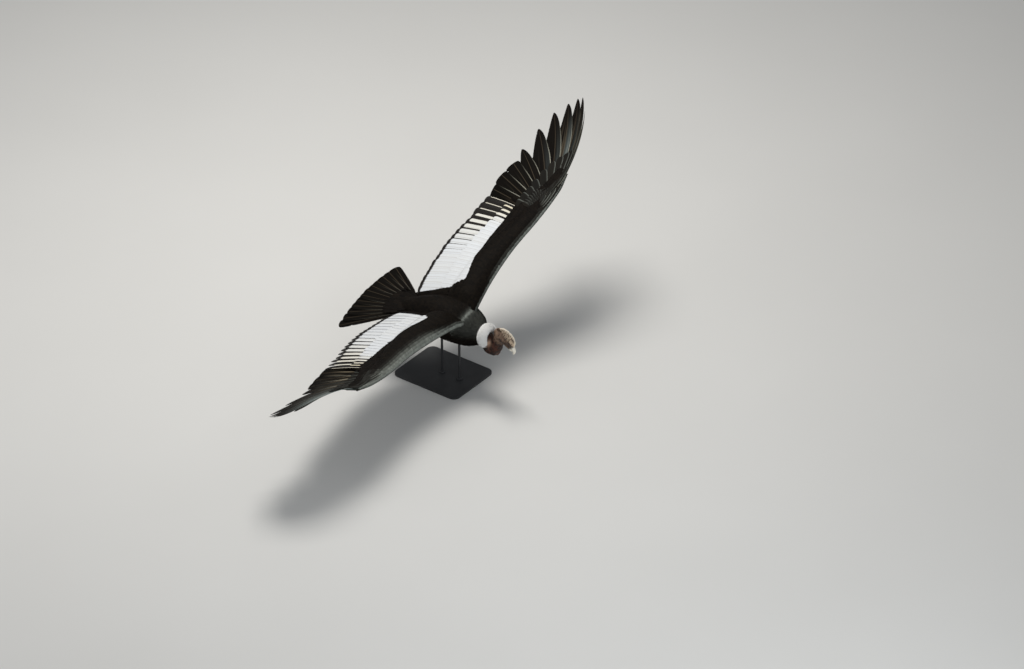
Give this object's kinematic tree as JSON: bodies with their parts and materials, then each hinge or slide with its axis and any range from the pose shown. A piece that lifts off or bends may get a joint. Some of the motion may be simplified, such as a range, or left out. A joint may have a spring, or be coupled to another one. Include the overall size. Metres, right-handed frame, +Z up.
{
  "type": "andean condor",
  "caption": "Adult male Andean condor in a banked glide, wings and tail spread, life-size still model on a plain display stand.",
  "frame": {"origin": "centre of the stand's underside", "axes": "+X towards the bird's bill, +Y towards its left wing, +Z up"},
  "size_m": [1.0143, 2.9188, 1.0764],
  "materials": {
    "plumage": "soft black feathers with a grey-olive sheen, white coverts and secondaries above",
    "flight": "brown-black flight feathers with pale shafts and edges",
    "down": "white down",
    "skin": "bare folded skin, dark red-brown with paler folds",
    "comb": "tan fleshy comb",
    "bill": "ivory horn",
    "eye": "wet brown eye",
    "shank": "grey scaled skin, dark claws",
    "stand": "satin dark grey paint"
  },
  "bodies": {
    "root": {"torso": "plumage", "neck_base": "plumage", "wing_arm_left": "plumage", "wing_arm_right": "plumage", "thigh_left": "plumage", "thigh_right": "plumage", "wing_hand_left": "flight", "wing_hand_right": "flight", "tail": "flight", "ruff": "down", "neck_bare": "skin", "head": "skin", "comb": "comb", "bill_upper": "bill", "bill_lower": "bill", "eye_left": "eye", "eye_right": "eye", "shank_left": "shank", "shank_right": "shank", "foot_left": "shank", "foot_right": "shank", "stand_base": "stand", "stand_rod_front": "stand", "stand_rod_rear": "stand"}
  },
  "joints": []
}
